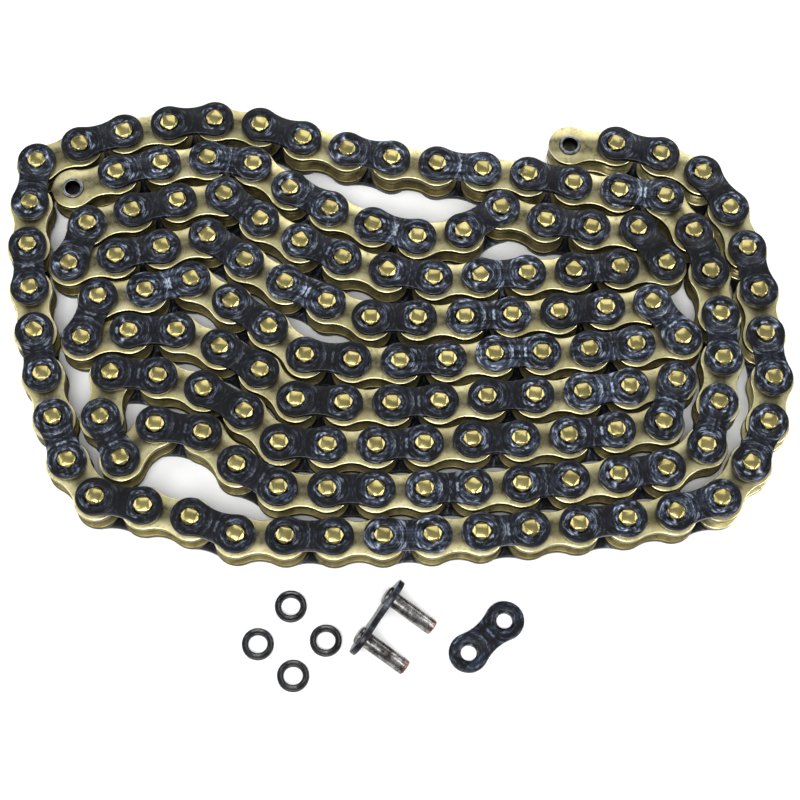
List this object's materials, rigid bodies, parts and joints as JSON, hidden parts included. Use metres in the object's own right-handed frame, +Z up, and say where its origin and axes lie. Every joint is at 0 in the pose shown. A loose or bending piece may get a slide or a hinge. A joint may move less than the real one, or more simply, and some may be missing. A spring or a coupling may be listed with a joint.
{
  "type": "roller chain",
  "caption": "Sealed motorcycle roller chain lying in a folded pack with one end free to unroll, and its rivet connecting link, cover plate and seal rings in front.",
  "frame": {"origin": "the middle of the whole set, on the surface that it lies on", "axes": "+Z up along the pins; +X to the right along the folded rows; +Y to the back, away from the loose connecting link"},
  "size_m": [0.2676, 0.2046, 0.0182],
  "materials": {
    "outer_plate": "black oxide steel with an oily film",
    "inner_plate": "pale satin gold plating on steel",
    "pin": "bright gold plating, staked ends",
    "bush": "ground steel",
    "roller": "hardened steel, greased",
    "seal": "greased nitrile rubber",
    "connecting_plate": "dark phosphated steel, mottled",
    "connecting_pin": "dark phosphated steel, ground"
  },
  "bodies": {
    "packed_strand": {"packed_outer_plates_upper": "outer_plate", "packed_outer_plates_lower": "outer_plate", "packed_inner_plates_upper": "inner_plate", "packed_inner_plates_lower": "inner_plate", "packed_pins": "pin", "packed_bushes": "bush", "packed_rollers": "roller", "packed_seals_upper": "seal", "packed_seals_lower": "seal"},
    "link_01": {"link_01_inner_plates": "inner_plate", "link_01_bushes": "bush"},
    "link_02": {"link_02_outer_plates": "outer_plate", "link_02_pins": "pin", "link_02_seals": "seal"},
    "link_03": {"link_03_inner_plates": "inner_plate", "link_03_bushes": "bush"},
    "link_04": {"link_04_outer_plates": "outer_plate", "link_04_pins": "pin", "link_04_seals": "seal"},
    "link_05": {"link_05_inner_plates": "inner_plate", "link_05_bushes": "bush"},
    "link_06": {"link_06_outer_plates": "outer_plate", "link_06_pins": "pin", "link_06_seals": "seal"},
    "link_07": {"link_07_inner_plates": "inner_plate", "link_07_bushes": "bush"},
    "link_08": {"link_08_outer_plates": "outer_plate", "link_08_pins": "pin", "link_08_seals": "seal"},
    "link_09": {"link_09_inner_plates": "inner_plate", "link_09_bushes": "bush"},
    "link_10": {"link_10_outer_plates": "outer_plate", "link_10_pins": "pin", "link_10_seals": "seal"},
    "link_11": {"link_11_inner_plates": "inner_plate", "link_11_bushes": "bush"},
    "link_01_roller_a": {"link_01_roller_a": "roller"},
    "link_01_roller_b": {"link_01_roller_b": "roller"},
    "link_03_roller_a": {"link_03_roller_a": "roller"},
    "link_03_roller_b": {"link_03_roller_b": "roller"},
    "link_05_roller_a": {"link_05_roller_a": "roller"},
    "link_05_roller_b": {"link_05_roller_b": "roller"},
    "link_07_roller_a": {"link_07_roller_a": "roller"},
    "link_07_roller_b": {"link_07_roller_b": "roller"},
    "link_09_roller_a": {"link_09_roller_a": "roller"},
    "link_09_roller_b": {"link_09_roller_b": "roller"},
    "link_11_roller_a": {"link_11_roller_a": "roller"},
    "link_11_roller_b": {"link_11_roller_b": "roller"},
    "pin_plate": {"connecting_plate": "connecting_plate", "connecting_pins": "connecting_pin"},
    "cover_plate": {"cover_plate": "connecting_plate"},
    "seal_ring_1": {"seal_ring_1": "seal"},
    "seal_ring_2": {"seal_ring_2": "seal"},
    "seal_ring_3": {"seal_ring_3": "seal"},
    "seal_ring_4": {"seal_ring_4": "seal"}
  },
  "joints": [
    {"name": "pin_11_hinge", "type": "hinge", "parent": "packed_strand", "child": "link_11", "pos_m": [0.10802, -0.03719, 0.00912], "axis": [0, 0, -1], "range_deg": [0, 30]},
    {"name": "pin_10_hinge", "type": "hinge", "parent": "link_11", "child": "link_10", "pos_m": [0.11801, -0.02486, 0.00912], "axis": [0, 0, -1], "range_deg": [0, 30]},
    {"name": "pin_09_hinge", "type": "hinge", "parent": "link_10", "child": "link_09", "pos_m": [0.12429, -0.01028, 0.00912], "axis": [0, 0, -1], "range_deg": [0, 30]},
    {"name": "pin_08_hinge", "type": "hinge", "parent": "link_09", "child": "link_08", "pos_m": [0.12641, 0.00545, 0.00912], "axis": [0, 0, -1], "range_deg": [0, 30]},
    {"name": "pin_07_hinge", "type": "hinge", "parent": "link_08", "child": "link_07", "pos_m": [0.1242, 0.02117, 0.00912], "axis": [0, 0, -1], "range_deg": [0, 30]},
    {"name": "pin_06_hinge", "type": "hinge", "parent": "link_07", "child": "link_06", "pos_m": [0.12254, 0.03696, 0.00912], "axis": [0, 0, -1], "range_deg": [0, 30]},
    {"name": "pin_05_hinge", "type": "hinge", "parent": "link_06", "child": "link_05", "pos_m": [0.11897, 0.05243, 0.00912], "axis": [0, 0, -1], "range_deg": [0, 30]},
    {"name": "pin_04_hinge", "type": "hinge", "parent": "link_05", "child": "link_04", "pos_m": [0.11354, 0.06735, 0.00912], "axis": [0, 0, -1], "range_deg": [0, 30]},
    {"name": "pin_03_hinge", "type": "hinge", "parent": "link_04", "child": "link_03", "pos_m": [0.10444, 0.08035, 0.00912], "axis": [0, 0, -1], "range_deg": [0, 30]},
    {"name": "pin_02_hinge", "type": "hinge", "parent": "link_03", "child": "link_02", "pos_m": [0.09005, 0.08706, 0.00912], "axis": [0, 0, -1], "range_deg": [0, 30]},
    {"name": "pin_01_hinge", "type": "hinge", "parent": "link_02", "child": "link_01", "pos_m": [0.07455, 0.0905, 0.00912], "axis": [0, 0, -1], "range_deg": [0, 30]},
    {"name": "link_01_roller_a_spin", "type": "hinge", "parent": "link_01", "child": "link_01_roller_a", "pos_m": [0.05868, 0.0905, 0.00912], "axis": [0, 0, 1], "continuous": true},
    {"name": "link_01_roller_b_spin", "type": "hinge", "parent": "link_01", "child": "link_01_roller_b", "pos_m": [0.07455, 0.0905, 0.00912], "axis": [0, 0, 1], "continuous": true},
    {"name": "link_03_roller_a_spin", "type": "hinge", "parent": "link_03", "child": "link_03_roller_a", "pos_m": [0.09005, 0.08706, 0.00912], "axis": [0, 0, 1], "continuous": true},
    {"name": "link_03_roller_b_spin", "type": "hinge", "parent": "link_03", "child": "link_03_roller_b", "pos_m": [0.10444, 0.08035, 0.00912], "axis": [0, 0, 1], "continuous": true},
    {"name": "link_05_roller_a_spin", "type": "hinge", "parent": "link_05", "child": "link_05_roller_a", "pos_m": [0.11354, 0.06735, 0.00912], "axis": [0, 0, 1], "continuous": true},
    {"name": "link_05_roller_b_spin", "type": "hinge", "parent": "link_05", "child": "link_05_roller_b", "pos_m": [0.11897, 0.05243, 0.00912], "axis": [0, 0, 1], "continuous": true},
    {"name": "link_07_roller_a_spin", "type": "hinge", "parent": "link_07", "child": "link_07_roller_a", "pos_m": [0.12254, 0.03696, 0.00912], "axis": [0, 0, 1], "continuous": true},
    {"name": "link_07_roller_b_spin", "type": "hinge", "parent": "link_07", "child": "link_07_roller_b", "pos_m": [0.1242, 0.02117, 0.00912], "axis": [0, 0, 1], "continuous": true},
    {"name": "link_09_roller_a_spin", "type": "hinge", "parent": "link_09", "child": "link_09_roller_a", "pos_m": [0.12641, 0.00545, 0.00912], "axis": [0, 0, 1], "continuous": true},
    {"name": "link_09_roller_b_spin", "type": "hinge", "parent": "link_09", "child": "link_09_roller_b", "pos_m": [0.12429, -0.01028, 0.00912], "axis": [0, 0, 1], "continuous": true},
    {"name": "link_11_roller_a_spin", "type": "hinge", "parent": "link_11", "child": "link_11_roller_a", "pos_m": [0.11801, -0.02486, 0.00912], "axis": [0, 0, 1], "continuous": true},
    {"name": "link_11_roller_b_spin", "type": "hinge", "parent": "link_11", "child": "link_11_roller_b", "pos_m": [0.10802, -0.03719, 0.00912], "axis": [0, 0, 1], "continuous": true},
    {"name": "pin_plate_lift", "type": "slide", "parent": "packed_strand", "child": "pin_plate", "axis": [0, 0, 1], "range_m": [0, 0.03]},
    {"name": "cover_plate_lift", "type": "slide", "parent": "packed_strand", "child": "cover_plate", "axis": [0, 0, 1], "range_m": [0, 0.03]},
    {"name": "seal_ring_1_lift", "type": "slide", "parent": "packed_strand", "child": "seal_ring_1", "axis": [0, 0, 1], "range_m": [0, 0.03]},
    {"name": "seal_ring_2_lift", "type": "slide", "parent": "packed_strand", "child": "seal_ring_2", "axis": [0, 0, 1], "range_m": [0, 0.03]},
    {"name": "seal_ring_3_lift", "type": "slide", "parent": "packed_strand", "child": "seal_ring_3", "axis": [0, 0, 1], "range_m": [0, 0.03]},
    {"name": "seal_ring_4_lift", "type": "slide", "parent": "packed_strand", "child": "seal_ring_4", "axis": [0, 0, 1], "range_m": [0, 0.03]}
  ]
}
